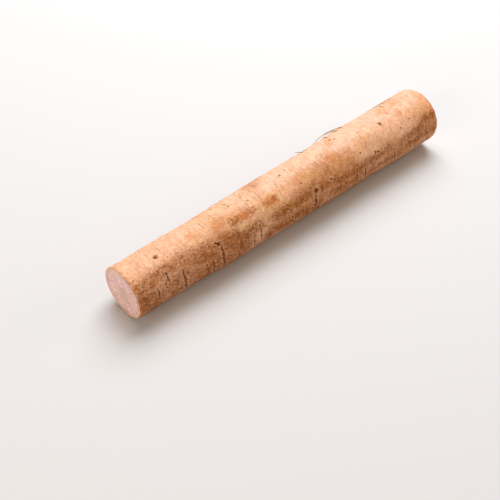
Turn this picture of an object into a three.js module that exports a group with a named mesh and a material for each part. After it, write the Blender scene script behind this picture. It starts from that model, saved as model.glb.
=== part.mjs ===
// A length of burdock root, washed and cut square at both ends, lying on its side.
// Millimetres, +Z up. The root runs along X, thinner at -X and thicker at +X, and rests on
// the narrow flat along its underside. The origin is under its middle, on the surface.

import * as THREE from 'three';

// Driving dimensions, in millimetres.
const LENGTH = 200;            // from cut to cut
const THIN_DIAMETER = 26.3;    // at the -X cut
const MIDDLE_DIAMETER = 29.0;  // half way along
const THICK_DIAMETER = 31.0;   // at the +X cut
const BOW = 0.55;              // how far the middle swings towards -Y
const OVAL = 0.2;              // how much the section is wider than it is high, each way
const SWELL = 0.16;            // height of the soft swellings along the root
const SWELL_LENGTH = 68;       // from one swelling to the next
const FLARE = 0.35;            // how far the skin spreads at the thin cut
const FLARE_LENGTH = 5;        // over which the flare dies away
const SCAR_HEIGHT = 0.6;       // the low shoulder under the largest side-root scar
const SCAR_SPREAD = 9;         // its half length along the root
const SCAR_PLACE = 154;        // its distance from the thin cut
const SCAR_ANGLE = 1.95;       // its place round the root, in radians from +Y towards +Z
const SCAR_WIDTH = 0.35;       // its half width round the root, in radians
const FLAT_DEPTH = 0.24;       // how much is pressed flat along the underside
const EDGE = 0.3;              // the small bevel where the knife left each cut edge

// How finely the solid is faceted.
const SIDES = 48;
const SPANS = 46;

// The half diameter at a distance x from the thin cut: a smooth taper through three sizes.
function meanRadius(x) {
  const u = x / LENGTH;
  const thin = THIN_DIAMETER * (1 - u) * (1 - 2 * u);
  const middle = MIDDLE_DIAMETER * 4 * u * (1 - u);
  const thick = THICK_DIAMETER * u * (2 * u - 1);
  return (thin + middle + thick) / 2;
}

// The distance from the root's axis to its skin, x along it and an angle round it from +Y.
function skinRadius(x, angle) {
  const wave = (2 * Math.PI * x) / SWELL_LENGTH;
  const swell = SWELL * (Math.sin(wave + angle) + 0.6 * Math.sin(1.7 * wave - 2 * angle));
  const oval = OVAL * Math.cos(2 * angle);
  const flare = FLARE * Math.exp(-x / FLARE_LENGTH);
  const along = (x - SCAR_PLACE) / SCAR_SPREAD;
  const round = (angle - SCAR_ANGLE) / SCAR_WIDTH;
  const scar = SCAR_HEIGHT * Math.exp(-along * along - round * round);
  return meanRadius(x) + oval + swell + flare + scar;
}

// One ring of skin points at x, shrunk inwards by inset. Its lowest part is pressed flat at
// z = 0. The ring's height is set before the inset, so a bevel lifts clear of the surface.
function ring(x, inset) {
  const u = x / LENGTH;
  const sideways = -BOW * 4 * u * (1 - u);
  const section = [];
  for (let i = 0; i < SIDES; i += 1) {
    const angle = (2 * Math.PI * i) / SIDES;
    const radius = skinRadius(x, angle);
    section.push({ angle, radius });
  }
  const lowest = Math.min(...section.map((p) => p.radius * Math.sin(p.angle)));
  const height = -lowest - FLAT_DEPTH;
  return section.map(({ angle, radius }) => {
    const y = sideways + (radius - inset) * Math.cos(angle);
    const z = height + (radius - inset) * Math.sin(angle);
    return new THREE.Vector3(x, y, Math.max(z, 0));
  });
}

// The rings from cut to cut: a bevel at each end, and even spans between.
function rings() {
  const list = [ring(0, EDGE)];
  for (let i = 0; i <= SPANS; i += 1) {
    const x = EDGE + ((LENGTH - 2 * EDGE) * i) / SPANS;
    list.push(ring(x, 0));
  }
  list.push(ring(LENGTH, EDGE));
  return list;
}

// Skins neighbouring rings together and closes both cuts with a fan from the middle.
function rootGeometry() {
  const list = rings();
  const points = list.flat();
  const faces = [];
  for (let r = 0; r < list.length - 1; r += 1) {
    for (let i = 0; i < SIDES; i += 1) {
      const a = r * SIDES + i;
      const b = r * SIDES + ((i + 1) % SIDES);
      faces.push(a, b, a + SIDES, b, b + SIDES, a + SIDES);
    }
  }
  const last = (list.length - 1) * SIDES;
  const thinCentre = points.push(middleOf(list[0])) - 1;
  const thickCentre = points.push(middleOf(list[list.length - 1])) - 1;
  for (let i = 0; i < SIDES; i += 1) {
    const next = (i + 1) % SIDES;
    faces.push(thinCentre, next, i);
    faces.push(thickCentre, last + i, last + next);
  }
  const geometry = new THREE.BufferGeometry();
  geometry.setFromPoints(points);
  geometry.setIndex(faces);
  return geometry;
}

// The middle point of a ring.
function middleOf(points) {
  const sum = new THREE.Vector3();
  points.forEach((p) => sum.add(p));
  return sum.divideScalar(points.length);
}

// Moves a shape so that its box stands on z = 0 with its middle over the origin.
function standOnOrigin(geometry) {
  geometry.computeBoundingBox();
  const { min, max } = geometry.boundingBox;
  geometry.translate(-(min.x + max.x) / 2, -(min.y + max.y) / 2, -min.z);
}

function burdockRoot() {
  const geometry = rootGeometry();
  standOnOrigin(geometry);
  geometry.computeVertexNormals();
  const skin = new THREE.MeshStandardMaterial({
    color: 0xc69468,
    roughness: 0.72,
    metalness: 0,
  });
  const mesh = new THREE.Mesh(geometry, skin);
  mesh.name = 'burdock_root';
  return mesh;
}

const part = new THREE.Group();
part.add(burdockRoot());

export default part;
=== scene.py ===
"""A length of burdock root lying on its side, dressed over its CAD solid.

The root's own sizes are in millimetres, as in the solid's source. The node trees also work in
millimetres, and their last step turns the mesh into metres.
"""
import math
import random

import bpy
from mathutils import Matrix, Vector


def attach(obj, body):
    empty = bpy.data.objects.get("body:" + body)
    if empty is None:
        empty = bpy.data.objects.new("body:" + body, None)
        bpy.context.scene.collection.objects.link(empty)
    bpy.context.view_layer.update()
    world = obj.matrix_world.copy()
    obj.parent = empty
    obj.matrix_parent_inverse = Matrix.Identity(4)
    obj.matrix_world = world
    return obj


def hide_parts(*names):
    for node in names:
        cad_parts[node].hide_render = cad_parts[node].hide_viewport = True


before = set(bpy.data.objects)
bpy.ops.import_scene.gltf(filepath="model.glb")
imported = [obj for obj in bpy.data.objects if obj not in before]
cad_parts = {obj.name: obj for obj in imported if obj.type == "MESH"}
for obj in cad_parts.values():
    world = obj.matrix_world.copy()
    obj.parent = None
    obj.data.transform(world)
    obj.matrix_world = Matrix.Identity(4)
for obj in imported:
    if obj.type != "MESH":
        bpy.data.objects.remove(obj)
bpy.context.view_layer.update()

MM = 0.001

# The root's shape, in millimetres and radians. Distances along it start at the thin cut.
LENGTH = 200.0
THIN_DIAMETER = 26.3
MIDDLE_DIAMETER = 29.0
THICK_DIAMETER = 31.0
BOW = 0.55
OVAL = 0.2
SWELL = 0.16
SWELL_LENGTH = 68.0
FLARE = 0.35
FLARE_LENGTH = 5.0
SCAR_HEIGHT = 0.6
SCAR_SPREAD = 9.0
SCAR_PLACE = 154.0
SCAR_ANGLE = 1.95
SCAR_WIDTH = 0.35
FLAT_DEPTH = 0.24
EDGE = 0.3

# The cage that the skin is grown on. The tree divides each of its faces four by four. The last
# of these tells a point on a cut's edge from the same point on the skin.
SIDES = 56
SPANS = 95
CUT_RINGS = (0.965, 0.86, 0.68, 0.46, 0.22)
DIVIDE = 2
NEARLY_ALL = 0.9999

# Shares of the radius, which is 1 on the skin: where the knife's steps on a cut end, where the
# skin starts to rise and sink, where the flesh ends, and where stubs of rootlets may grow.
SHAVED_WITHIN = 0.96
MOVED_FROM = 0.995
FLESH_WITHIN = 0.998
SOWN_FROM = 0.999

# The skin laid out flat: millimetres along the root, and millimetres round it from its top
# line, less than 0 on the front (-Y) side.
SHEET_RADIUS = 14.5
CRACKS = (
    # along, from, to, lean, curve, half width: cross cracks down the front, bent like a bracket
    (11, -16.5, -24, 0.02, 0.01, 0.55), (18, -12, -17, 0.08, 0.02, 0.75),
    (25.6, -15, -29, -0.04, 0.014, 0.9), (42.2, -18.5, -31, -0.05, 0.004, 0.7),
    (48, -13, -30, -0.03, 0.012, 0.9), (67.4, -17.5, -28, -0.04, 0.012, 0.55),
    (72, -15.5, -26, 0.0, -0.006, 0.6), (91.5, -18, -29, -0.1, 0.012, 0.55),
    (108, -18.5, -27, 0.03, 0.0, 0.8), (137, -17, -27, -0.12, 0.014, 0.5),
    (143.5, -17.5, -28.5, -0.09, 0.014, 0.62), (129, -19, -26, -0.12, 0.012, 0.36),
    (152, -15, -19.5, 0.1, 0.01, 0.5), (165.5, -19, -29, -0.14, 0.012, 0.6),
    (178, -21, -32, -0.14, 0.006, 0.55), (5, -19, -26, -0.05, 0.01, 0.4),
    (77, -19, -25, -0.08, 0.01, 0.4), (118, -21, -29, -0.1, 0.006, 0.4),
)
SCARS = (
    # along, round, half width: where side roots were rubbed off
    (18, -2.3, 1.35), (47.5, -13.2, 1.3), (97, 1.0, 0.75), (164, -4.2, 1.25), (143, -11.6, 0.6),
    (154, -16, 0.8), (182, -10, 0.45), (181, -15.7, 0.6), (109, -16.3, 1.4), (120, -15, 0.85),
    (38.5, -20.5, 0.8), (73.5, -2.3, 0.6), (103, -9, 0.6), (135.5, 4.6, 0.8), (137.5, 3.2, 0.6),
    (2.5, -7.4, 0.6), (64, 1.0, 0.55), (152, -15.2, 0.6), (46.4, -12.4, 0.7), (48.6, -12.6, 0.6),
)
STAINS = (
    # along, round, half width: patches where the skin is rubbed orange
    (38, -2.7, 4), (52, -4.2, 4), (60, -4.4, 4), (83, -8.2, 5), (104, -7.5, 5), (126, -5.2, 3.5),
    (174, 3.2, 6), (182, 3.6, 6), (133, 3.6, 4.5), (178, -3.8, 3), (196.5, -3.0, 5.5),
    (198, -10, 5.5), (67, -6.5, 5),
)
SMEARS = (
    # from, to, round, half width: where the wash left a film of soil in the rough cork, and where
    # painted shade darkens the lowest front
    (1, 9, -12.5, 5.0), (12, 32, -11.5, 5.5), (30, 44, -13.5, 6.0), (42, 58, -15, 5.5),
    (49, 60, -19, 4.5), (57, 73, -16.5, 3.6), (60, 72, -8, 2.6), (80, 86, -8.5, 2.3),
    (82, 95, -16.5, 3.0), (96, 113, -16, 3.0), (116, 122, -16.5, 2.2), (126, 134, -18, 2.2),
    (136, 147, -18, 2.6), (150, 157, -17.5, 2.4), (172, 187, -17, 2.0), (191, 199, -14, 2.4),
    # Painted shade: these low ones darken the front near what the root lies on.
    (1, 26, -20, 7.0), (4, 30, -25, 6.0), (24, 60, -24, 6.0), (78, 110, -24, 4.5),
    (120, 140, -23, 3.0), (144, 170, -24, 2.2), (0, 60, -30, 5.0), (90, 150, -29, 3.0),
    (176, 198, -22, 1.8),
)

# How far apart the zones of thick rough cork are, and where they start to gather and are fullest, in
# millimetres round from the top line. Their gathering low down on both sides is painted shade under the
# root.
ZONE_SIZE = 26.0
ZONE_SHADE_STARTS = 8.0
ZONE_SHADE_FULLEST = 23.0
# How far from a cut the knife tore the skin, and how far from it the skin starts to be orange
# and is fully so, where it dried.
NICK_REACH = 2.2
DRIED_REACH = 3.0
DRIED_FULL = 0.5

# Marks left to chance, from one seed. Each kind has how far round the root it starts and ends,
# and how many there are. The rest are least and most places and sizes, in millimetres.
SEED = 7
FINE_CRACKS = ((7, 58, 60), (-32, 4, 16))
FINE_CRACK_PLACE = (4, LENGTH - 4)
FINE_CRACK_LENGTH = (1.5, 7.0)
FINE_CRACK_LEAN = (-0.1, 0.1)
FINE_CRACK_GAPE = (0.25, 0.42)
PITS = ((8, 58, 70), (-30, 8, 14))
PIT_PLACE = (2, LENGTH - 2)
PIT_SIZE = (0.3, 0.55)
STAINS_BEHIND = (8, 58, 20)
STAIN_PLACE = (6, LENGTH - 6)
STAIN_SIZE = (2, 5)
SMEARS_BEHIND = (10, 59, 60)
SMEAR_START = (0, 190)
SMEAR_LENGTH = (3, 15)
SMEAR_SIZE = (1.3, 3.6)

# A crack is a line with a point at each step, which wobbles to both sides.
CRACK_STEP = 0.7
CRACK_WOBBLE = (-0.28, 0.28)
CRACK_RAGGEDNESS = (0.55, 1.35)

# The map that the skin and the two cuts are unrolled on, 1 wide and 1 high: the skin fills its
# lower part, and the cuts are two discs above it.
MAP_SKIN_HEIGHT = 0.6
MAP_CUT_HEIGHT = 0.81
MAP_CUT_RADIUS = 0.18
MAP_THIN_CUT = 0.2
MAP_THICK_CUT = 0.7


def mean_radius(x):
    """Half the diameter at x, on a smooth taper through three sizes."""
    u = x / LENGTH
    thin = THIN_DIAMETER * (1 - u) * (1 - 2 * u)
    middle = MIDDLE_DIAMETER * 4 * u * (1 - u)
    thick = THICK_DIAMETER * u * (2 * u - 1)
    return (thin + middle + thick) / 2


def skin_radius(x, angle):
    """From the axis to the skin, at x and at an angle round from +Y towards +Z."""
    wave = 2 * math.pi * x / SWELL_LENGTH
    swell = SWELL * (math.sin(wave + angle) + 0.6 * math.sin(1.7 * wave - 2 * angle))
    oval = OVAL * math.cos(2 * angle)
    flare = FLARE * math.exp(-x / FLARE_LENGTH)
    along = (x - SCAR_PLACE) / SCAR_SPREAD
    round_it = (angle - SCAR_ANGLE) / SCAR_WIDTH
    scar = SCAR_HEIGHT * math.exp(-along * along - round_it * round_it)
    return mean_radius(x) + oval + swell + flare + scar


def axis_point(x):
    """The middle of the root at x, before the root is centred over the origin."""
    u = x / LENGTH
    angles = [2 * math.pi * i / SIDES for i in range(SIDES)]
    lowest = min(skin_radius(x, angle) * math.sin(angle) for angle in angles)
    return Vector((x, -BOW * 4 * u * (1 - u), -lowest - FLAT_DEPTH))


def skin_point(x, angle, inset=0.0):
    """The skin at x and an angle, moved inwards by inset."""
    radius = skin_radius(x, angle) - inset
    return axis_point(x) + Vector((0, radius * math.cos(angle), radius * math.sin(angle)))


def hex_colour(code):
    """A linear colour from an sRGB hex code."""
    parts = [int(code[i:i + 2], 16) / 255 for i in (1, 3, 5)]
    linear = [p / 12.92 if p <= 0.04045 else ((p + 0.055) / 1.055) ** 2.4 for p in parts]
    return (*linear, 1.0)


EASED = {"interpolation_type": "SMOOTHSTEP"}  # a Map Range that eases in and out


def add_node(tree, kind, inputs=(), **settings):
    """Adds a node, sets it, and fills its inputs, given by name or number.

    A value is a number, a socket to link, or a node, which stands for its first output.
    """
    node = tree.nodes.new(kind)
    for name, value in settings.items():
        setattr(node, name, value)
    for key, value in dict(inputs).items():
        if isinstance(value, bpy.types.Node):
            value = value.outputs[0]
        if isinstance(value, bpy.types.NodeSocket):
            tree.links.new(value, node.inputs[key])
        else:
            node.inputs[key].default_value = value
    return node


def new_piece(name, mesh):
    """An object for a mesh, in the scene, at the origin."""
    piece = bpy.data.objects.new(name, mesh)
    bpy.context.scene.collection.objects.link(piece)
    return piece


def store(mesh, name, kind, values):
    """Stores one value for each point of a mesh."""
    layer = mesh.attributes.new(name, kind, "POINT")
    layer.data.foreach_set("vector" if kind == "FLOAT_VECTOR" else "value", values)


# ---- The cage, in millimetres ----

def cage_rings():
    """Each ring as (x, inset, share): share is 1 on the skin and falls to 0 across a cut."""
    spans = [EDGE + (LENGTH - 2 * EDGE) * i / SPANS for i in range(SPANS + 1)]
    skin = [(0.0, EDGE, 1.0), *((x, 0.0, 1.0) for x in spans), (LENGTH, EDGE, 1.0)]
    thin_cut = [(0.0, EDGE, share) for share in reversed(CUT_RINGS)]
    thick_cut = [(LENGTH, EDGE, share) for share in CUT_RINGS]
    return thin_cut + skin + thick_cut


def unrolled(x, turn, share):
    """A point's place on the map. Its turn goes from 0 to 1 round the root."""
    if share == 1.0:
        return (x / LENGTH, MAP_SKIN_HEIGHT * turn)
    middle = MAP_THICK_CUT if x > 0 else MAP_THIN_CUT
    angle = 2 * math.pi * turn
    return (middle + MAP_CUT_RADIUS * share * math.cos(angle),
            MAP_CUT_HEIGHT + MAP_CUT_RADIUS * share * math.sin(angle))


def cage_points(rings):
    """Each point of the cage with its axis point and its share, the middles of the cuts last."""
    points = []
    for x, inset, share in rings:
        axis = axis_point(x)
        for i in range(SIDES):
            rim = skin_point(x, 2 * math.pi * i / SIDES, inset)
            points.append((axis.lerp(rim, share), axis, share))
    for x in (0.0, LENGTH):
        points.append((axis_point(x), axis_point(x), 0.0))
    return points


def cage_faces(rings):
    """The faces between the rings and over both cuts, and their corners' places on the map."""
    faces, places = [], []
    for r, ((x0, _, share0), (x1, _, share1)) in enumerate(zip(rings, rings[1:])):
        # On a cut, the corners at the skin belong to the disc too.
        most = NEARLY_ALL if min(share0, share1) < 1.0 else 1.0
        for i in range(SIDES):
            a, b = r * SIDES + i, r * SIDES + (i + 1) % SIDES
            faces.append((a, b, b + SIDES, a + SIDES))
            corners = ((x0, i, share0), (x0, i + 1, share0), (x1, i + 1, share1), (x1, i, share1))
            places += [unrolled(x, turn / SIDES, min(share, most)) for x, turn, share in corners]
    last = (len(rings) - 1) * SIDES
    thin_middle = len(rings) * SIDES
    for i in range(SIDES):
        after = (i + 1) % SIDES
        faces.append((thin_middle, after, i))
        faces.append((thin_middle + 1, last + i, last + after))
        for x, turns in ((0.0, (i + 1, i)), (LENGTH, (i, i + 1))):
            places.append(unrolled(x, 0.0, 0.0))
            places += [unrolled(x, turn / SIDES, CUT_RINGS[-1]) for turn in turns]
    return faces, places


def root_cage():
    """The closed cage, centred over the origin, and how far it was moved for that."""
    rings = cage_rings()
    points, axes, shares = zip(*cage_points(rings))
    faces, places = cage_faces(rings)
    sideways = (min(p.y for p in points) + max(p.y for p in points)) / 2
    centred = Vector((-LENGTH / 2, -sideways, 0))
    mesh = bpy.data.meshes.new("root_cage")
    mesh.from_pydata([p + centred for p in points], [], faces)
    store(mesh, "axis", "FLOAT_VECTOR", [n for axis in axes for n in axis + centred])
    store(mesh, "share", "FLOAT", shares)
    mesh.uv_layers.new(name="OFBake").data.foreach_set("uv", [n for uv in places for n in uv])
    return mesh, centred


# ---- Marks on the flat sheet of skin ----

def line_mesh(name, lines):
    """A mesh of loose lines, each of them a list of points."""
    points, edges = [], []
    for line in lines:
        first = len(points)
        points += line
        edges += [(start, start + 1) for start in range(first, len(points) - 1)]
    mesh = bpy.data.meshes.new(name)
    mesh.from_pydata(points, edges, [])
    return mesh


def mark_sheet(name, lines):
    """Marks as lines on the sheet, each point (along, round, reach), reach its half width."""
    lines = list(lines)
    mesh = line_mesh(name, [[(along, round_it, 0) for along, round_it, _ in line]
                            for line in lines])
    store(mesh, "reach", "FLOAT", [reach for line in lines for _, _, reach in line])
    return new_piece(name, mesh)


def crack_lines(chance):
    """Cross cracks that gape in the middle: the named ones, and fine ones, most of them behind."""
    cracks = list(CRACKS)
    for first, last, count in FINE_CRACKS:
        for _ in range(count):
            start = chance.uniform(first, last)
            cracks.append((chance.uniform(*FINE_CRACK_PLACE), start,
                           start - chance.uniform(*FINE_CRACK_LENGTH),
                           chance.uniform(*FINE_CRACK_LEAN), 0.0,
                           chance.uniform(*FINE_CRACK_GAPE)))
    for along, start, end, lean, curve, gape in cracks:
        length = start - end
        steps = max(4, round(length / CRACK_STEP))
        line = []
        for step in range(steps + 1):
            down = length * step / steps
            bend = curve * (down - length / 2) ** 2
            x = along - lean * down + bend + chance.uniform(*CRACK_WOBBLE)
            # Nearly shut at both ends, the lower one most.
            open_here = math.sqrt(math.sin(math.pi * (0.1 + 0.87 * step / steps)))
            line.append((x, start - down, gape * chance.uniform(*CRACK_RAGGEDNESS) * open_here))
        yield line


def scar_spots(chance):
    """Scars where side roots were, and many small pits between them, most of them behind."""
    pits = []
    for first, last, count in PITS:
        pits += [(chance.uniform(*PIT_PLACE), chance.uniform(first, last),
                  chance.uniform(*PIT_SIZE)) for _ in range(count)]
    return [[spot] for spot in (*SCARS, *pits)]


def stain_spots(chance):
    """Orange rubbed patches: those at the front, and some round the back."""
    first, last, count = STAINS_BEHIND
    behind = [(chance.uniform(*STAIN_PLACE), chance.uniform(first, last),
               chance.uniform(*STAIN_SIZE)) for _ in range(count)]
    return [[spot] for spot in (*STAINS, *behind)]


def smear_lines(chance):
    """Smears of soil along the root, the lowest front ones painted shade: those at the front, and many
    short ones behind.
    """
    smears = list(SMEARS)
    low, high, count = SMEARS_BEHIND
    for _ in range(count):
        first = chance.randint(*SMEAR_START)
        last = min(round(LENGTH), first + chance.randint(*SMEAR_LENGTH))
        smears.append((first, last, chance.uniform(low, high), chance.uniform(*SMEAR_SIZE)))
    for first, last, round_it, reach in smears:
        yield [(along, round_it, reach) for along in range(first, last + 1)]


# ---- The trees ----

def new_tree(name, sockets):
    """A geometry tree with named inputs, and the sockets that they come from."""
    tree = bpy.data.node_groups.new(name, "GeometryNodeTree")
    tree.interface.new_socket("Mesh", in_out="INPUT", socket_type="NodeSocketGeometry")
    for label, kind in sockets:
        tree.interface.new_socket(label, in_out="INPUT", socket_type="NodeSocket" + kind)
    tree.interface.new_socket("Mesh", in_out="OUTPUT", socket_type="NodeSocketGeometry")
    return tree, add_node(tree, "NodeGroupInput").outputs


def grow(name, base, tree, sizes):
    """Runs a tree on a mesh with the given inputs, and returns the result as a plain piece."""
    rough = new_piece(name + "_base", base)
    growth = rough.modifiers.new(tree.name, "NODES")
    growth.node_group = tree
    for item in tree.interface.items_tree:
        if item.in_out == "INPUT" and item.name in sizes:
            growth[item.identifier] = sizes[item.name]
    depsgraph = bpy.context.evaluated_depsgraph_get()
    grown = bpy.data.meshes.new_from_object(
        rough.evaluated_get(depsgraph), preserve_all_data_layers=True, depsgraph=depsgraph)
    grown.name = name
    rough.modifiers.remove(growth)
    bpy.data.objects.remove(rough)
    return new_piece(name, grown)


def mark_distance(tree, marks, place, target):
    """The distance from a place on the sheet to the nearest mark, over that mark's reach."""
    sheet = add_node(tree, "GeometryNodeObjectInfo", {"Object": marks}).outputs["Geometry"]
    spot = {"Geometry": sheet, "Sample Position": place}
    near = add_node(tree, "GeometryNodeProximity", spot, target_element=target)
    which = add_node(tree, "GeometryNodeSampleNearest", spot)
    reach = add_node(tree, "GeometryNodeInputNamedAttribute", {"Name": "reach"})
    found = add_node(tree, "GeometryNodeSampleIndex",
                     {"Geometry": sheet, "Value": reach, "Index": which})
    return add_node(tree, "ShaderNodeMath", {0: near.outputs["Distance"], 1: found}, operation="DIVIDE")


def sheet_places(tree):
    """Each point's place, its way out from the axis, its angle, and its place on the sheet."""
    point = add_node(tree, "GeometryNodeInputPosition")
    axis = add_node(tree, "GeometryNodeInputNamedAttribute", {"Name": "axis"}, data_type="FLOAT_VECTOR")
    off_axis = add_node(tree, "ShaderNodeVectorMath", {0: point, 1: axis}, operation="SUBTRACT")
    off_axis = add_node(tree, "ShaderNodeVectorMath", {0: off_axis, 1: (0, 1, 1)}, operation="MULTIPLY")
    outwards = add_node(tree, "ShaderNodeVectorMath", {0: off_axis}, operation="NORMALIZE")
    side = add_node(tree, "ShaderNodeSeparateXYZ", {0: off_axis}).outputs
    turn = add_node(tree, "ShaderNodeMath", {0: side["Y"], 1: side["Z"]}, operation="ARCTAN2")
    round_it = add_node(tree, "ShaderNodeMath", {0: turn, 1: SHEET_RADIUS}, operation="MULTIPLY")
    along = add_node(tree, "ShaderNodeSeparateXYZ", {0: point}).outputs["X"]
    along = add_node(tree, "ShaderNodeMath", {0: along, 1: LENGTH / 2})
    sheet = add_node(tree, "ShaderNodeCombineXYZ", {"X": along, "Y": round_it})
    return point, outwards, turn, sheet


def rough_zones_and_low_shade(tree, seed, point, sheet):
    """Zones where the cork is thick and rough, with more of them low down on both sides as painted
    shade.
    """
    patches = add_node(tree, "ShaderNodeTexNoise",
                       {"Vector": point, "W": seed, "Scale": 1 / ZONE_SIZE, "Detail": 1.0},
                       noise_dimensions="4D")
    round_it = add_node(tree, "ShaderNodeSeparateXYZ", {0: sheet}).outputs["Y"]
    off_top = add_node(tree, "ShaderNodeMath", {0: round_it}, operation="ABSOLUTE")
    # Painted shade: the zones gather low down on both sides.
    low_down = add_node(tree, "ShaderNodeMapRange",
                        {"Value": off_top, "From Min": ZONE_SHADE_STARTS, "From Max": ZONE_SHADE_FULLEST,
                         "To Min": -0.12, "To Max": 0.15}, **EASED)
    patches = add_node(tree, "ShaderNodeMath", {0: patches, 1: low_down})
    return add_node(tree, "ShaderNodeMapRange",
                    {"Value": patches, "From Min": 0.4, "From Max": 0.62}, **EASED)


def cross_wrinkles(tree, given, point):
    """Wrinkles: noise that is long round the root and short along it, cut off at a level."""
    sizes = add_node(tree, "ShaderNodeCombineXYZ",
                     {"X": given["Wrinkle Spacing"], "Y": given["Wrinkle Length"],
                      "Z": given["Wrinkle Length"]})
    across = add_node(tree, "ShaderNodeVectorMath", {0: point, 1: sizes}, operation="DIVIDE")
    fold = add_node(tree, "ShaderNodeTexNoise",
                    {"Vector": across, "W": given["Seed"], "Scale": 1.0, "Detail": 3.0},
                    noise_dimensions="4D")
    return add_node(tree, "ShaderNodeMapRange", {"Value": fold, "From Min": 0.53, "From Max": 0.72},
                    **EASED)


def swelling(tree, seed, point, size, height):
    """Round lumps of a size, as a height above and below the cage."""
    frequency = add_node(tree, "ShaderNodeMath", {0: 1.0, 1: size}, operation="DIVIDE")
    noise = add_node(tree, "ShaderNodeTexNoise",
                     {"Vector": point, "W": seed, "Scale": frequency, "Detail": 2.0},
                     noise_dimensions="4D")
    level = add_node(tree, "ShaderNodeMath", {0: noise, 1: 0.5}, operation="SUBTRACT")
    return add_node(tree, "ShaderNodeMath", {0: level, 1: height}, operation="MULTIPLY")


def lip(tree, distance):
    """The low rim that the cork lifts into just outside a mark."""
    rise = add_node(tree, "ShaderNodeMapRange",
                    {"Value": distance, "From Min": 0.7, "From Max": 1.2}, **EASED)
    fall = add_node(tree, "ShaderNodeMapRange",
                    {"Value": distance, "From Min": 2.3, "From Max": 1.2}, **EASED)
    return add_node(tree, "ShaderNodeMath", {0: rise, 1: fall}, operation="MULTIPLY")


def near_cut(tree, place, start, full):
    """How near a place is to a cut: 0 at the distance start and 1 at the distance full."""
    along = add_node(tree, "ShaderNodeSeparateXYZ", {0: place}).outputs["X"]
    off_middle = add_node(tree, "ShaderNodeMath", {0: along}, operation="ABSOLUTE")
    return add_node(tree, "ShaderNodeMapRange",
                    {"Value": off_middle, "From Min": LENGTH / 2 - start,
                     "From Max": LENGTH / 2 - full})


def knife_nicks(tree, seed, point):
    """Places along the very edge of each cut where the knife tore the skin."""
    at_cut = near_cut(tree, point, NICK_REACH, EDGE)
    tears = add_node(tree, "ShaderNodeTexNoise",
                     {"Vector": point, "W": seed, "Scale": 0.45, "Detail": 2.0}, noise_dimensions="4D")
    tears = add_node(tree, "ShaderNodeMapRange", {"Value": tears, "From Min": 0.52, "From Max": 0.6},
                     **EASED)
    return add_node(tree, "ShaderNodeMath", {0: at_cut, 1: tears}, operation="MULTIPLY")


def shaved_cuts(tree, skin, depth, point, share):
    """The mesh with faint steps from the knife on its cuts, always inside the flat of the cut."""
    strokes = add_node(tree, "ShaderNodeVectorMath", {0: point, 1: (0.0, 0.25, 1.1)},
                       operation="MULTIPLY")
    steps = add_node(tree, "ShaderNodeTexNoise", {"Vector": strokes, "Scale": 0.6, "Detail": 3.0})
    sunk = add_node(tree, "ShaderNodeMath", {0: steps, 1: depth}, operation="MULTIPLY")
    inwards = add_node(tree, "ShaderNodeMath", {0: sunk, 1: -1.0}, operation="MULTIPLY")
    normal = add_node(tree, "GeometryNodeInputNormal")
    shaved = add_node(tree, "ShaderNodeVectorMath", {0: normal, "Scale": inwards}, operation="SCALE")
    in_cut = add_node(tree, "FunctionNodeCompare", {0: share, 1: SHAVED_WITHIN}, operation="LESS_THAN")
    return add_node(tree, "GeometryNodeSetPosition",
                    {"Geometry": skin, "Selection": in_cut, "Offset": shaved})


def pressed_flat(tree, skin, point):
    """The mesh with nothing below the surface that the root lies on."""
    spot = add_node(tree, "ShaderNodeSeparateXYZ", {0: point}).outputs
    above = add_node(tree, "ShaderNodeMath", {0: spot["Z"], 1: 0.0}, operation="MAXIMUM")
    pressed = add_node(tree, "ShaderNodeCombineXYZ", {"X": spot["X"], "Y": spot["Y"], "Z": above})
    return add_node(tree, "GeometryNodeSetPosition", {"Geometry": skin, "Position": pressed})


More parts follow.
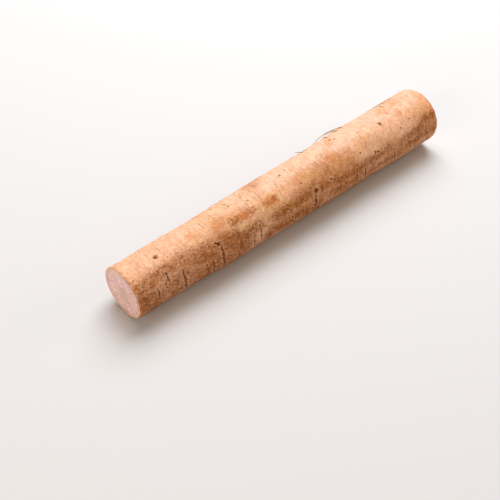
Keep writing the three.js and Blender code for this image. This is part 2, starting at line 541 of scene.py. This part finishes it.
def skin_tree():
    """Grows the fine skin on the cage, in millimetres, and ends in metres."""
    tree, given = new_tree("Burdock skin", (
        ("Divide", "Int"), ("Seed", "Float"), ("Lump Height", "Float"), ("Lump Size", "Float"),
        ("Wrinkle Depth", "Float"), ("Wrinkle Spacing", "Float"), ("Wrinkle Length", "Float"),
        ("Grain Height", "Float"), ("Grain Size", "Float"), ("Crack Depth", "Float"),
        ("Scar Depth", "Float"), ("Rim Height", "Float"), ("Nick Depth", "Float"),
        ("Saw Depth", "Float"),
        ("Cracks", "Object"), ("Scars", "Object"), ("Stains", "Object"), ("Smears", "Object"),
        ("Skin", "Material"), ("Flesh", "Material")))
    fine = add_node(tree, "GeometryNodeSubdivisionSurface",
                    {"Mesh": given["Mesh"], "Level": given["Divide"]})
    point, outwards, turn, sheet = sheet_places(tree)
    share = add_node(tree, "GeometryNodeInputNamedAttribute", {"Name": "share"})
    zone = rough_zones_and_low_shade(tree, given["Seed"], point, sheet)
    wrinkle = add_node(tree, "ShaderNodeMath", {0: cross_wrinkles(tree, given, point), 1: zone},
                       operation="MULTIPLY")

    # Every mark's outline is frayed: cracks and scars a little, films and stains much more.
    fray = add_node(tree, "ShaderNodeTexNoise", {"Vector": point, "Scale": 0.8, "Detail": 3.0})
    fray = add_node(tree, "ShaderNodeVectorMath", {0: fray.outputs[1], 1: (0.5, 0.5, 0.5)},
                    operation="SUBTRACT")
    frayed = {}
    for label, amount in (("little", (1.7, 1.4, 0.0)), ("much", (8.0, 7.0, 0.0))):
        frayed[label] = add_node(tree, "ShaderNodeVectorMath", {0: fray, 1: amount, 2: sheet},
                                 operation="MULTIPLY_ADD")
    to_crack = mark_distance(tree, given["Cracks"], frayed["little"], "EDGES")
    to_scar = mark_distance(tree, given["Scars"], frayed["little"], "POINTS")
    sunk = {"Wrinkle Depth": wrinkle, "Nick Depth": knife_nicks(tree, given["Seed"], point)}
    for depth, distance, bottom in (("Crack Depth", to_crack, 0.3), ("Scar Depth", to_scar, 0.4)):
        sunk[depth] = add_node(tree, "ShaderNodeMapRange",
                               {"Value": distance, "From Min": 1.0, "From Max": bottom}, **EASED)
    rim = add_node(tree, "ShaderNodeMath", {0: lip(tree, to_scar), 1: lip(tree, to_crack)},
                   operation="MAXIMUM")

    # What the colours need to know. A crack or a scar is 1 in its middle and 0.5 at its edge.
    known = {"rim": rim, "wrinkle": wrinkle, "zone": zone, "around": turn}
    for label, distance in (("crack", to_crack), ("scar", to_scar)):
        known[label] = add_node(tree, "ShaderNodeMapRange",
                                {"Value": distance, "From Min": 2.0, "From Max": 0.0})
    for label, marks, target in (("stain", "Stains", "POINTS"), ("soil", "Smears", "EDGES")):
        distance = mark_distance(tree, given[marks], frayed["much"], target)
        known[label] = add_node(tree, "ShaderNodeMapRange",
                                {"Value": distance, "From Min": 1.15, "From Max": 0.25}, **EASED)
    for label, value in known.items():
        fine = add_node(tree, "GeometryNodeStoreNamedAttribute",
                        {"Geometry": fine, "Name": label, "Value": value})

    # The height of the skin over the cage: what stands up, less what is sunk.
    lumps = swelling(tree, given["Seed"], point, given["Lump Size"], given["Lump Height"])
    grain = swelling(tree, given["Seed"], point, given["Grain Size"], given["Grain Height"])
    height = add_node(tree, "ShaderNodeMath", {0: lumps, 1: grain})
    height = add_node(tree, "ShaderNodeMath", {0: rim, 1: given["Rim Height"], 2: height},
                      operation="MULTIPLY_ADD")
    for depth, mark in sunk.items():
        below = add_node(tree, "ShaderNodeMath", {0: mark, 1: given[depth]}, operation="MULTIPLY")
        height = add_node(tree, "ShaderNodeMath", {0: height, 1: below}, operation="SUBTRACT")
    raised = add_node(tree, "ShaderNodeVectorMath", {0: outwards, "Scale": height}, operation="SCALE")
    on_skin = add_node(tree, "FunctionNodeCompare", {0: share, 1: MOVED_FROM}, operation="GREATER_THAN")
    fine = add_node(tree, "GeometryNodeSetPosition",
                    {"Geometry": fine, "Selection": on_skin, "Offset": raised})
    fine = shaved_cuts(tree, fine, given["Saw Depth"], point, share)
    fine = pressed_flat(tree, fine, point)

    metres = add_node(tree, "GeometryNodeTransform", {"Geometry": fine, "Scale": (MM, MM, MM)})
    whole = add_node(tree, "GeometryNodeRealizeInstances", {"Geometry": metres})
    skinned = add_node(tree, "GeometryNodeSetMaterial",
                       {"Geometry": whole, "Material": given["Skin"]})
    cut_face = add_node(tree, "FunctionNodeCompare", {0: share, 1: FLESH_WITHIN}, operation="LESS_THAN")
    dressed = add_node(tree, "GeometryNodeSetMaterial",
                       {"Geometry": skinned, "Selection": cut_face, "Material": given["Flesh"]})
    add_node(tree, "NodeGroupOutput", {"Mesh": dressed})
    return tree


# No stub grows closer to the surface that the root lies on than this, in millimetres.
STUBS_ABOVE = 4.0


def rootlet_tree():
    """Turns laid-out hairs into tapering fibres, and sows short stubs of them on the skin."""
    tree, given = new_tree("Side rootlets", (
        ("Body", "Object"), ("Seed", "Int"), ("Hair Radius", "Float"), ("Stub Radius", "Float"),
        ("Stub Length", "Float"), ("Stub Density", "Float"), ("Stub Gap", "Float"),
        ("Fibre", "Material")))
    section = add_node(tree, "GeometryNodeCurvePrimitiveCircle", {"Resolution": 5, "Radius": 1.0})
    part_way = add_node(tree, "GeometryNodeSplineParameter").outputs["Factor"]
    taper = add_node(tree, "ShaderNodeMapRange",
                     {"Value": part_way, "To Min": 1.0, "To Max": 0.45})

    hairs = add_node(tree, "GeometryNodeMeshToCurve", {"Mesh": given["Mesh"]})
    smooth = add_node(tree, "GeometryNodeCurveSplineType", {"Curve": hairs},
                      spline_type="CATMULL_ROM")
    smooth = add_node(tree, "GeometryNodeResampleCurve", {"Curve": smooth, "Count": 28})
    hair_radius = add_node(tree, "ShaderNodeMath", {0: taper, 1: given["Hair Radius"]},
                           operation="MULTIPLY")
    long_hairs = add_node(tree, "GeometryNodeCurveToMesh",
                          {"Curve": smooth, "Profile Curve": section, "Scale": hair_radius,
                           "Fill Caps": True})

    # One curled stub, rooted at the origin and rising along +Z.
    stub = add_node(tree, "GeometryNodeCurveQuadraticBezier",
                    {"Resolution": 7, "Start": (0, 0, -0.15), "Middle": (0.1, 0, 0.55),
                     "End": (0.75, 0.2, 0.7)})
    stub_width = add_node(tree, "ShaderNodeMath",
                          {0: given["Stub Radius"], 1: given["Stub Length"]}, operation="DIVIDE")
    stub_radius = add_node(tree, "ShaderNodeMath", {0: taper, 1: stub_width}, operation="MULTIPLY")
    stub = add_node(tree, "GeometryNodeCurveToMesh",
                    {"Curve": stub, "Profile Curve": section, "Scale": stub_radius,
                     "Fill Caps": True})
    body = add_node(tree, "GeometryNodeObjectInfo", {"Object": given["Body"]}).outputs["Geometry"]
    share = add_node(tree, "GeometryNodeInputNamedAttribute", {"Name": "share"})
    on_skin = add_node(tree, "FunctionNodeCompare", {0: share, 1: SOWN_FROM}, operation="GREATER_THAN")
    place = add_node(tree, "GeometryNodeInputPosition")
    rise = add_node(tree, "ShaderNodeSeparateXYZ", {0: place}).outputs["Z"]
    clear = add_node(tree, "FunctionNodeCompare", {0: rise, 1: STUBS_ABOVE * MM},
                     operation="GREATER_THAN")
    sown_on = add_node(tree, "FunctionNodeBooleanMath", {0: on_skin, 1: clear})
    seeds = add_node(tree, "GeometryNodeDistributePointsOnFaces",
                     {"Mesh": body, "Selection": sown_on, "Distance Min": given["Stub Gap"],
                      "Density Max": given["Stub Density"], "Seed": given["Seed"]},
                     distribute_method="POISSON")
    spin = add_node(tree, "FunctionNodeRandomValue",
                    {0: (-0.5, -0.5, 0.0), 1: (0.5, 0.5, 2 * math.pi), "Seed": given["Seed"]},
                    data_type="FLOAT_VECTOR")
    turned = add_node(tree, "FunctionNodeRotateRotation",
                      {0: seeds.outputs["Rotation"], 1: spin}, rotation_space="LOCAL")
    size = add_node(tree, "FunctionNodeRandomValue",
                    {2: 0.5, 3: 1.3, "Seed": given["Seed"]}, data_type="FLOAT").outputs[1]
    size = add_node(tree, "ShaderNodeMath", {0: size, 1: given["Stub Length"]}, operation="MULTIPLY")
    stubs = add_node(tree, "GeometryNodeInstanceOnPoints",
                     {"Points": seeds.outputs["Points"], "Instance": stub, "Rotation": turned,
                      "Scale": size})
    both = add_node(tree, "GeometryNodeJoinGeometry")
    tree.links.new(long_hairs.outputs[0], both.inputs[0])
    tree.links.new(stubs.outputs[0], both.inputs[0])
    whole = add_node(tree, "GeometryNodeRealizeInstances", {"Geometry": both})
    dressed = add_node(tree, "GeometryNodeSetMaterial",
                       {"Geometry": whole, "Material": given["Fibre"]})
    add_node(tree, "NodeGroupOutput", {"Mesh": dressed})
    return tree


# How deep under the skin each long hair starts, in millimetres.
HAIR_ROOT_DEPTH = 0.3
HAIRS = (
    # along, degrees round from the top, then steps as (along, outwards, round) in millimetres
    (151, 38, ((-2, 0.5, 0.6), (-4, 0.7, 1.4), (-4.5, 0.4, 1.6), (-4, -0.3, 1.8), (-3, -0.6, 1.6))),
    (146, 35, ((-1.5, 0.6, 0.5), (-3, 0.6, 1.2), (-3.5, -0.2, 1.5))),
    (121, 34, ((-1.2, 0.4, 0.5), (-1.4, 0.7, 0.9), (-0.9, 0.7, 1.2))),
    (137, 30, ((-0.6, 0.7, 0.2), (-0.9, 0.4, 0.5), (-0.4, -0.3, 0.9))),
    (62, 120, ((2, 0.6, 0.4), (3, 0.5, 1.0), (3.4, 0.2, 1.2), (2.6, -0.3, 1.5))),
    (28, 75, ((-1, 0.6, 0.5), (-2, 0.5, 0.9), (-1.8, 0.1, 1.3))),
    (176, -128, ((1.4, 0.5, -0.4), (2.4, 0.5, -0.8), (2.4, 0.1, -0.9))),
    (89, 98, ((-1.2, 0.7, 0.6), (-2.2, 0.5, 1.2), (-2.8, 0, 1.4))),
)


def hair_lines(centred):
    """The points of each long hair, in metres, from just under the skin to its tip."""
    for along, degrees, steps in HAIRS:
        x, angle, lift = along, math.radians(90 - degrees), -HAIR_ROOT_DEPTH
        line = []
        for ahead, out, sideways in ((0, 0, 0), *steps):
            x, lift = x + ahead, lift + out
            angle -= sideways / skin_radius(x, angle)
            line.append((skin_point(x, angle, -lift) + centred) * MM)
        yield line


# ---- Materials ----

COLOUR_A, COLOUR_B, MIXED = 6, 7, 2  # a colour Mix node's two colours and its result


def new_material(name, finish):
    """A material, its tree, its shader, and the place in the piece in millimetres.

    The finish is what is the same all over: the values of some of the shader's own inputs.
    """
    material = bpy.data.materials.new(name)
    material.use_nodes = True
    tree = material.node_tree
    shader = tree.nodes["Principled BSDF"]
    for label, value in finish.items():
        shader.inputs[label].default_value = value
    place = add_node(tree, "ShaderNodeTexCoord").outputs["Object"]
    place = add_node(tree, "ShaderNodeVectorMath", {0: place, "Scale": 1 / MM}, operation="SCALE")
    return material, tree, shader, place


def noise_pattern(tree, number, place, sizes, detail, levels):
    """Marks of a size in X, Y and Z: noise, cut off softly between two of its levels.

    Its number gives each pattern a slice of the noise that is its own.
    """
    scaled = add_node(tree, "ShaderNodeVectorMath", {0: place, 1: sizes}, operation="DIVIDE")
    noise = add_node(tree, "ShaderNodeTexNoise",
                     {"Vector": scaled, "W": 1.7 * number, "Scale": 1.0,
                      "Detail": detail, "Roughness": 0.62, "Distortion": 0.4}, noise_dimensions="4D")
    return add_node(tree, "ShaderNodeMapRange",
                    {"Value": noise, "From Min": levels[0], "From Max": levels[1]}, **EASED)


def lay_colours(tree, colour, coats, masks):
    """Lays coats over a colour, in order. Each is (hex code, strength, masks that it needs)."""
    for code, strength, names in coats:
        cover = strength
        for name in names:
            cover = add_node(tree, "ShaderNodeMath", {0: cover, 1: masks[name]}, operation="MULTIPLY")
        colour = add_node(tree, "ShaderNodeMix",
                          {0: cover, COLOUR_A: colour, COLOUR_B: hex_colour(code)},
                          data_type="RGBA").outputs[MIXED]
    return colour


# Split cork shows as a net with cells of this size, in millimetres. The finest real ones are
# half of it, too fine to see.
CORK_CELL = 2.2
# Painted highlight: a pale band along the top stands in for the key light's sheen. These give where the
# band's middle is, in radians round from the top line towards the back, and how wide it is to each
# side. It fades in towards the thick end, between these distances from the root's middle, in
# millimetres.
PAINTED_SHEEN_SIDE = 0.2
PAINTED_SHEEN_HALF_WIDTH = 0.7
PAINTED_SHEEN_STARTS = -80.0
PAINTED_SHEEN_FULL = 10.0
# The brown film is thin everywhere. This is how much of it there is, and how much more there is in the
# rough zones and in the smears, so it also thickens in their painted shade low down.
FILM = 0.26
ZONE_FILM = 0.16
SMEAR_FILM = 0.66
# The root grew with a slight twist, so its patterns run askew by this angle, in degrees.
TWIST = -24.0

SKIN_PATTERNS = {
    # sizes in millimetres along, across and up, then detail, and the noise levels cut between
    "pink": ((24, 18, 18), 2.0, (0.35, 0.56)),
    "ochre": ((22, 12, 12), 3.0, (0.48, 0.74)),
    "cloud": ((3.4, 2.6, 2.6), 4.0, (0.44, 0.64)),
    "strokes": ((3.2, 0.7, 0.7), 3.0, (0.51, 0.63)),
    "ticks": ((0.75, 1.9, 1.9), 3.0, (0.53, 0.65)),
    "grain": ((0.8, 0.7, 0.7), 2.0, (0.5, 0.7)),
    "pale": ((1.6, 1.0, 1.0), 2.0, (0.52, 0.78)),
    "lines": ((0.9, 6.0, 6.0), 2.0, (0.57, 0.7)),
    "broken": ((5.0, 5.0, 5.0), 2.0, (0.45, 0.62)),
    "rubbed": ((2.0, 1.6, 1.6), 4.0, (0.33, 0.62)),
    "ridges": ((0.8, 5.0, 5.0), 2.0, (0.52, 0.72)),
}
SKIN_COATS = (
    # Living bark under thin cork: tan with a pink cast, more ochre in places, and palest along the top,
    # where a highlight is painted in.
    ("#E7B491", 1.0, ("pink",)),
    ("#CFA062", 0.65, ("ochre",)),
    # Painted highlight: the key light's sheen along the top, fuller towards the thick end.
    ("#F4CDB8", 0.55, ("painted_top_sheen", "thick_end")),
    ("#F8DCCC", 0.42, ("ridges",)),
    # Thick rough cork, and the film of soil that the wash left in it, are a warm brown. Gathered low
    # down, they are also painted shade.
    ("#BE7E48", 0.65, ("zone",)),
    ("#AE6C2E", 0.55, ("soil",)),
    ("#9C5A1E", 0.62, ("cloud", "film_and_low_shade")),
    # Dark flecks, split cork and dark creases, thickest under the film and so in the painted shade low
    # down.
    ("#7A360A", 0.7, ("strokes", "film_and_low_shade")),
    ("#7A360A", 0.6, ("ticks", "film_and_low_shade")),
    ("#702C02", 0.6, ("grain", "film_and_low_shade")),
    ("#702C02", 0.6, ("net", "broken", "film_and_low_shade")),
    ("#F3CDB0", 0.5, ("pale",)),
    ("#92501E", 0.48, ("lines",)),
    ("#7A380C", 0.5, ("wrinkle",)),
    # Orange where the skin is rubbed, pale on the lips of cracks, dark down in the marks. The pale lips
    # are partly a painted highlight on the raised rim, and the dark in the cracks is partly painted
    # shade in the groove.
    ("#CC783A", 0.6, ("stain", "rubbed")),
    # Partly painted highlight: the raised lips round cracks and scars are paled.
    ("#EBC5A2", 0.38, ("rim",)),
    ("#B26E38", 0.5, ("halo",)),
    ("#5E2400", 0.88, ("scar",)),
    # Partly painted shade: the cracks' grooves are darkened as well as sunk.
    ("#662A02", 0.68, ("crack",)),
    ("#D8915E", 0.55, ("at_cut", "rubbed")),
)
SKIN_COLOUR = "#E1AB7E"
TORN_MARKS = (
    # name, the mark that it is on, and the nearness where it starts and where it is full
    ("halo", "scar", 0.45, 0.9), ("scar", "scar", 0.8, 1.1), ("crack", "crack", 0.8, 1.06),
)
# How far each of these is raised, as a share of the bump's distance: all of them are sunk.
RELIEF = {"strokes": -0.5, "grain": -0.5, "lines": -0.6, "ticks": -0.4, "crack": -1.2, "scar": -0.8}


def cork_net(tree, place):
    """A net of fine lines, bent out of shape, where the cork split as the root swelled."""
    bend = add_node(tree, "ShaderNodeTexNoise", {"Vector": place, "Scale": 0.55, "Detail": 3.0})
    bent = add_node(tree, "ShaderNodeVectorMath", {0: bend.outputs[1], 1: (3.0, 3.0, 3.0), 2: place},
                    operation="MULTIPLY_ADD")
    cells = add_node(tree, "ShaderNodeTexVoronoi", {"Vector": bent, "Scale": 1 / CORK_CELL},
                     feature="DISTANCE_TO_EDGE")
    return add_node(tree, "ShaderNodeMapRange",
                    {"Value": cells.outputs["Distance"], "From Min": 0.15, "From Max": 0.02}, **EASED)


def torn_marks(tree, place, nearness):
    """Cracks and scars with torn edges, and the halo that a scar stains round itself."""
    torn = add_node(tree, "ShaderNodeTexNoise", {"Vector": place, "Scale": 1.5, "Detail": 3.0})
    marks = {}
    for name, mark, low, high in TORN_MARKS:
        near = add_node(tree, "ShaderNodeMath", {0: torn, 1: 0.6, 2: nearness[mark]},
                        operation="MULTIPLY_ADD")
        marks[name] = add_node(tree, "ShaderNodeMapRange",
                               {"Value": near, "From Min": low, "From Max": high}, **EASED)
    return marks


def washed_skin():
    """Washed burdock periderm: thin matt cork, tan with a pink cast, mottled and netted brown, with a
    painted highlight along its top and painted shade low down.
    """
    material, tree, shader, place = new_material(
        "burdock_skin_washed_cork", {"IOR": 1.4, "Specular IOR Level": 0.12})
    masks = {name: add_node(tree, "ShaderNodeAttribute", attribute_name=name).outputs["Fac"]
             for name in ("crack", "scar", "rim", "stain", "soil", "wrinkle", "zone")}
    askew = add_node(tree, "ShaderNodeMapping",
                     {"Vector": place, "Rotation": (0.0, math.radians(TWIST), 0.0)})
    for number, (name, settings) in enumerate(SKIN_PATTERNS.items()):
        masks[name] = noise_pattern(tree, number, askew, *settings)
    masks["net"] = cork_net(tree, place)
    masks.update(torn_marks(tree, place, masks))

    film_and_low_shade = add_node(tree, "ShaderNodeMath", {0: masks["zone"], 1: ZONE_FILM, 2: FILM},
                    operation="MULTIPLY_ADD")
    masks["film_and_low_shade"] = add_node(tree, "ShaderNodeMath", {0: masks["soil"], 1: SMEAR_FILM, 2: film_and_low_shade},
                             operation="MULTIPLY_ADD")

    # Painted highlight: the pale band along the top, a little towards the key light's side, fuller
    # towards the thick end.
    turn = add_node(tree, "ShaderNodeAttribute", attribute_name="around").outputs["Fac"]
    off_sheen = add_node(tree, "ShaderNodeMath", {0: turn, 1: PAINTED_SHEEN_SIDE}, operation="SUBTRACT")
    off_sheen = add_node(tree, "ShaderNodeMath", {0: off_sheen}, operation="ABSOLUTE")
    masks["painted_top_sheen"] = add_node(tree, "ShaderNodeMapRange",
                              {"Value": off_sheen, "From Min": PAINTED_SHEEN_HALF_WIDTH,
                               "From Max": PAINTED_SHEEN_HALF_WIDTH / 2}, **EASED)
    along = add_node(tree, "ShaderNodeSeparateXYZ", {0: place}).outputs["X"]
    masks["thick_end"] = add_node(tree, "ShaderNodeMapRange",
                                  {"Value": along, "From Min": PAINTED_SHEEN_STARTS, "From Max": PAINTED_SHEEN_FULL,
                                   "To Min": 0.15}, **EASED)
    masks["at_cut"] = near_cut(tree, place, DRIED_REACH, DRIED_FULL)
    colour = lay_colours(tree, hex_colour(SKIN_COLOUR), SKIN_COATS, masks)
    tree.links.new(colour, shader.inputs["Base Color"])

    # Cork is matt, most of all in its dark grain.
    matt = add_node(tree, "ShaderNodeMapRange",
                    {"Value": masks["grain"], "To Min": 0.58, "To Max": 0.75})
    tree.links.new(matt.outputs[0], shader.inputs["Roughness"])
    height = 0.0
    for name, share in RELIEF.items():
        height = add_node(tree, "ShaderNodeMath", {0: masks[name], 1: share, 2: height},
                          operation="MULTIPLY_ADD")
    bump = add_node(tree, "ShaderNodeBump",
                    {"Height": height, "Strength": 0.45, "Distance": 0.25 * MM})
    tree.links.new(bump.outputs[0], shader.inputs["Normal"])
    return material


FLESH_COATS = (
    # Damp pale flesh with a lilac cast, browner along its rays and in its pores.
    ("#EACCCE", 0.9, ("lilac",)),
    ("#D2A294", 0.4, ("wide_rays",)),
    ("#B8806C", 0.6, ("rays",)),
    ("#94584A", 0.55, ("pores",)),
    ("#FFF4F6", 0.85, ("cells",)),
    # From the heart outwards: a tan core, the pale rim, the broken ring in it, and the skin.
    ("#C89A7C", 0.35, ("heart",)),
    ("#E2BCA0", 0.95, ("rim",)),
    ("#9C6C66", 0.6, ("ring_in", "ring_out", "bare")),
    ("#C28C60", 0.8, ("skin",)),
)
FLESH_COLOUR = "#FFD4CF"
FLESH_LAYERS = (
    # name, and the shares of the radius where it starts and where it is full
    ("heart", 0.45, 0.05), ("rim", 0.885, 0.925), ("ring_in", 0.84, 0.88),
    ("ring_out", 0.925, 0.885), ("skin", 0.98, 0.998),
)


def cut_flesh():
    """Raw flesh where a knife went through: damp, pale lilac, with rays and a ring."""
    material, tree, shader, place = new_material("burdock_flesh_knife_cut", {
        "IOR": 1.4, "Subsurface Weight": 0.12, "Subsurface Radius": (1.0, 0.5, 0.3),
        "Subsurface Scale": 1.5 * MM})
    share = add_node(tree, "ShaderNodeAttribute", attribute_name="share").outputs["Fac"]
    turn = add_node(tree, "ShaderNodeAttribute", attribute_name="around").outputs["Fac"]
    sine = add_node(tree, "ShaderNodeMath", {0: turn}, operation="SINE")
    cosine = add_node(tree, "ShaderNodeMath", {0: turn}, operation="COSINE")
    spoke = add_node(tree, "ShaderNodeCombineXYZ", {"X": sine, "Y": cosine, "Z": share})

    # Rays are spokes: their sizes are shares of the radius round the cut and along it. Pores and
    # cells are sizes in millimetres, drawn coarser than the real ones so that they show.
    masks = {
        "rays": noise_pattern(tree, 1, spoke, (0.045, 0.045, 0.4), 3.0, (0.47, 0.66)),
        "wide_rays": noise_pattern(tree, 2, spoke, (0.16, 0.16, 0.5), 2.0, (0.45, 0.65)),
        "bare": noise_pattern(tree, 3, spoke, (0.6, 0.6, 9.0), 1.0, (0.38, 0.62)),
        "lilac": noise_pattern(tree, 4, place, (2.2, 2.2, 2.2), 3.0, (0.42, 0.62)),
        "pores": noise_pattern(tree, 5, place, (0.7, 0.7, 0.7), 3.0, (0.5, 0.66)),
        "cells": noise_pattern(tree, 6, place, (0.55, 0.55, 0.55), 2.0, (0.52, 0.72)),
    }
    for name, start, full in FLESH_LAYERS:
        masks[name] = add_node(tree, "ShaderNodeMapRange",
                               {"Value": share, "From Min": start, "From Max": full}, **EASED)
    colour = lay_colours(tree, hex_colour(FLESH_COLOUR), FLESH_COATS, masks)
    tree.links.new(colour, shader.inputs["Base Color"])
    damp = add_node(tree, "ShaderNodeMapRange",
                    {"Value": masks["rays"], "To Min": 0.42, "To Max": 0.6})
    tree.links.new(damp.outputs[0], shader.inputs["Roughness"])
    sunk = add_node(tree, "ShaderNodeMath", {0: masks["rays"], 1: masks["pores"]})
    bump = add_node(tree, "ShaderNodeBump",
                    {"Height": sunk, "Strength": 0.4, "Distance": -0.2 * MM})
    tree.links.new(bump.outputs[0], shader.inputs["Normal"])
    return material


def dry_fibre():
    """Dried side rootlets: thin tan fibre, matt, with paler lengths."""
    material, tree, shader, place = new_material("burdock_rootlet_dry_fibre", {"Roughness": 0.8})
    masks = {"worn": noise_pattern(tree, 1, place, (1.6, 1.6, 1.6), 2.0, (0.35, 0.65))}
    colour = lay_colours(tree, hex_colour("#85501F"), (("#BE8A54", 1.0, ("worn",)),), masks)
    tree.links.new(colour, shader.inputs["Base Color"])
    return material


def studio_floor_finish():
    """Matt white board, painted evenly: one plain pale surface with no gloss."""
    return new_material("studio_floor_white_board",
                        {"Base Color": hex_colour("#CDCFD3"), "Roughness": 0.9})[0]


# ---- The studio ----

# The camera's angles are in degrees, and its distance, aim and lens in millimetres.
CAMERA_AZIMUTH = -41.455
CAMERA_ELEVATION = 45.0
CAMERA_DISTANCE = 427.2
CAMERA_AIM = Vector((-38.8, -18.1, 14.0))
CAMERA_LENS = 64.8


def set_camera():
    """Looks down at 45 degrees from the thin end's front quarter, through a 65 mm lens."""
    azimuth, elevation = math.radians(CAMERA_AZIMUTH), math.radians(CAMERA_ELEVATION)
    back = Vector((math.sin(azimuth) * math.cos(elevation),
                   -math.cos(azimuth) * math.cos(elevation), math.sin(elevation)))
    data = bpy.data.cameras.new("camera")
    data.lens = CAMERA_LENS
    data.clip_start = 10 * MM
    camera = bpy.data.objects.new("camera", data)
    camera.location = (CAMERA_AIM + back * CAMERA_DISTANCE) * MM
    camera.rotation_mode = "QUATERNION"
    camera.rotation_quaternion = (-back).to_track_quat("-Z", "Y")
    bpy.context.scene.collection.objects.link(camera)
    bpy.context.scene.camera = camera


LIGHTS = (
    # name, place and width in metres, watts, colour
    ("key", (0.38, 0.42, 0.9), 0.9, 17.0, (1.0, 0.99, 0.98)),
    ("thin_end_fill", (-0.95, -0.22, 0.42), 0.6, 4.6, (1.0, 0.82, 0.64)),
    ("thick_end_fill", (0.8, -0.55, 0.4), 0.6, 2.3, (1.0, 0.82, 0.64)),
)
AIR_COLOUR = (1.0, 0.86, 0.73, 1.0)
AIR_STRENGTH = 0.24
FLOOR_HALF_WIDTH = 3.0


def set_light(name, place, width, power, colour):
    """A square soft light that faces the middle of the root."""
    data = bpy.data.lights.new(name, "AREA")
    data.energy = power
    data.size = width
    data.color = colour
    light = bpy.data.objects.new(name, data)
    light.location = place
    light.rotation_mode = "QUATERNION"
    middle = Vector((0, 0, THICK_DIAMETER / 2)) * MM
    light.rotation_quaternion = (middle - light.location).to_track_quat("-Z", "Y")
    bpy.context.scene.collection.objects.link(light)


def set_studio():
    """A pale floor in warm dim air, a large key light from behind, and a warm fill at each end."""
    bpy.context.scene.view_settings.view_transform = "Standard"
    world = bpy.data.worlds.new("studio")
    world.use_nodes = True
    air = world.node_tree.nodes["Background"].inputs
    air["Color"].default_value = AIR_COLOUR
    air["Strength"].default_value = AIR_STRENGTH
    bpy.context.scene.world = world
    for light in LIGHTS:
        set_light(*light)
    half = FLOOR_HALF_WIDTH
    floor = bpy.data.meshes.new("floor")
    floor.from_pydata([(-half, -half, 0), (half, -half, 0), (half, half, 0), (-half, half, 0)],
                      [], [(0, 1, 2, 3)])
    floor.materials.append(studio_floor_finish())
    new_piece("floor", floor)


# ---- Making it ----

set_camera()
chance = random.Random(SEED)
marks = {
    "Cracks": mark_sheet("cracks", crack_lines(chance)),
    "Scars": mark_sheet("scars", scar_spots(chance)),
    "Stains": mark_sheet("stains", stain_spots(chance)),
    "Smears": mark_sheet("smears", smear_lines(chance)),
}
cage, centred = root_cage()
root_body = grow("root_body", cage, skin_tree(), {
    "Divide": DIVIDE, "Seed": 3.0,
    "Lump Height": 0.55, "Lump Size": 21.0,
    "Wrinkle Depth": 0.3, "Wrinkle Spacing": 1.5, "Wrinkle Length": 9.0,
    "Grain Height": 0.16, "Grain Size": 1.6,
    "Crack Depth": 0.3, "Scar Depth": 0.25, "Rim Height": 0.14, "Nick Depth": 0.5,
    "Saw Depth": 0.16,
    "Skin": washed_skin(), "Flesh": cut_flesh(), **marks,
})
side_rootlets = grow("side_rootlets", line_mesh("hairs", hair_lines(centred)), rootlet_tree(), {
    "Body": root_body, "Seed": 11, "Hair Radius": 0.25 * MM, "Stub Radius": 0.07 * MM,
    "Stub Length": 1.6 * MM, "Stub Density": 2500.0, "Stub Gap": 12 * MM, "Fibre": dry_fibre(),
})
for sheet_of_marks in marks.values():
    bpy.data.objects.remove(sheet_of_marks)
for piece in (root_body, side_rootlets):
    piece.data.shade_smooth()
    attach(piece, "root")
    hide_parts("burdock_root")
set_studio()
